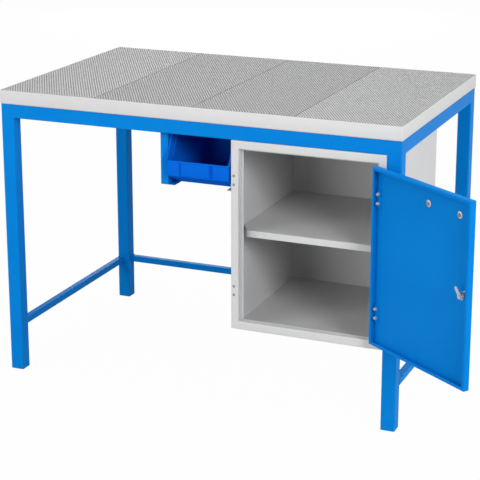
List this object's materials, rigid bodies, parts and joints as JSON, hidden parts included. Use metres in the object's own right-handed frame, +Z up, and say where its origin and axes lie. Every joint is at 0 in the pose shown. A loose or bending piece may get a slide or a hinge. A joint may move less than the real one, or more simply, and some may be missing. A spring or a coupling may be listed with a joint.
{
  "type": "engine disassembly table",
  "caption": "Steel workbench with a drip tray under lift-out perforated panels, a pull-out storage bin and a small cabinet with a shelf and a hinged door with a cam lock.",
  "frame": {"origin": "on the floor, under the middle of the table top", "axes": "+X along the table's long side towards the cabinet, +Y away from the working side, +Z up"},
  "size_m": [1.4576, 1.0004, 0.85],
  "materials": {
    "blue_powder_coat": "light blue powder coat, semi-gloss",
    "grey_powder_coat": "light grey powder coat, semi-gloss",
    "perforated_steel": "bare galvanised perforated sheet",
    "bright_zinc": "bright zinc plating",
    "bin_plastic": "moulded polypropylene, slight gloss",
    "black_plastic": "matt black"
  },
  "bodies": {
    "table": {"leg_front_left": "blue_powder_coat", "leg_front_right": "blue_powder_coat", "leg_rear_left": "blue_powder_coat", "leg_rear_right": "blue_powder_coat", "front_rail": "blue_powder_coat", "rear_rail": "blue_powder_coat", "middle_rail": "blue_powder_coat", "left_rail": "blue_powder_coat", "right_rail": "blue_powder_coat", "low_rail_left": "blue_powder_coat", "low_rail_right": "blue_powder_coat", "low_rail_rear": "blue_powder_coat", "runner_left": "blue_powder_coat", "tray": "grey_powder_coat", "cabinet_front_frame": "grey_powder_coat", "cabinet_side_left": "grey_powder_coat", "cabinet_side_right": "grey_powder_coat", "cabinet_back": "grey_powder_coat", "cabinet_top": "grey_powder_coat", "cabinet_bottom": "grey_powder_coat", "shelf": "grey_powder_coat", "shelf_angle_left": "grey_powder_coat", "shelf_angle_right": "grey_powder_coat", "runner_right": "grey_powder_coat", "drain_spout": "bright_zinc", "spout_nut": "bright_zinc", "cabinet_bolt_front_left": "bright_zinc", "cabinet_bolt_front_right": "bright_zinc", "cabinet_bolt_rear_left": "bright_zinc", "cabinet_bolt_rear_right": "bright_zinc", "hinge_leaf_stile_upper": "bright_zinc", "hinge_leaf_stile_lower": "bright_zinc", "hinge_pin_upper": "bright_zinc", "hinge_pin_lower": "bright_zinc", "hinge_screw_stile_upper_1": "bright_zinc", "hinge_screw_stile_upper_2": "bright_zinc", "hinge_screw_stile_lower_1": "bright_zinc", "hinge_screw_stile_lower_2": "bright_zinc"},
    "door": {"door": "blue_powder_coat", "hinge_leaf_door_upper": "bright_zinc", "hinge_leaf_door_lower": "bright_zinc", "hinge_backing_upper": "blue_powder_coat", "hinge_backing_lower": "blue_powder_coat", "hinge_screw_door_upper_1": "bright_zinc", "hinge_screw_door_upper_2": "bright_zinc", "hinge_screw_door_lower_1": "bright_zinc", "hinge_screw_door_lower_2": "bright_zinc", "lock_body": "bright_zinc", "lock_nut": "bright_zinc", "handle": "black_plastic", "handle_screw_1": "bright_zinc", "handle_screw_2": "bright_zinc"},
    "lock": {"lock_plug": "bright_zinc", "lock_cam": "bright_zinc", "lock_cam_screw": "bright_zinc"},
    "bin": {"bin": "bin_plastic"},
    "panel_1": {"panel_1": "perforated_steel"},
    "panel_2": {"panel_2": "perforated_steel"},
    "panel_3": {"panel_3": "perforated_steel"},
    "panel_4": {"panel_4": "perforated_steel"}
  },
  "joints": [
    {"name": "door_swing", "type": "hinge", "parent": "table", "child": "door", "pos_m": [0.5377, -0.379, 0.2557], "axis": [0, 0, 1], "range_deg": [-145, 30]},
    {"name": "lock_turn", "type": "hinge", "parent": "door", "child": "lock", "pos_m": [0.84161, -0.59912, 0.4997], "axis": [0.5736, 0.8192, 0], "range_deg": [-48, 132]},
    {"name": "bin_slide", "type": "slide", "parent": "table", "child": "bin", "axis": [0, -1, 0], "range_m": [0, 0.25]},
    {"name": "panel_1_lift", "type": "slide", "parent": "table", "child": "panel_1", "axis": [0, 0, 1], "range_m": [0, 0.12]},
    {"name": "panel_2_lift", "type": "slide", "parent": "table", "child": "panel_2", "axis": [0, 0, 1], "range_m": [0, 0.12]},
    {"name": "panel_3_lift", "type": "slide", "parent": "table", "child": "panel_3", "axis": [0, 0, 1], "range_m": [0, 0.12]},
    {"name": "panel_4_lift", "type": "slide", "parent": "table", "child": "panel_4", "axis": [0, 0, 1], "range_m": [0, 0.12]}
  ]
}
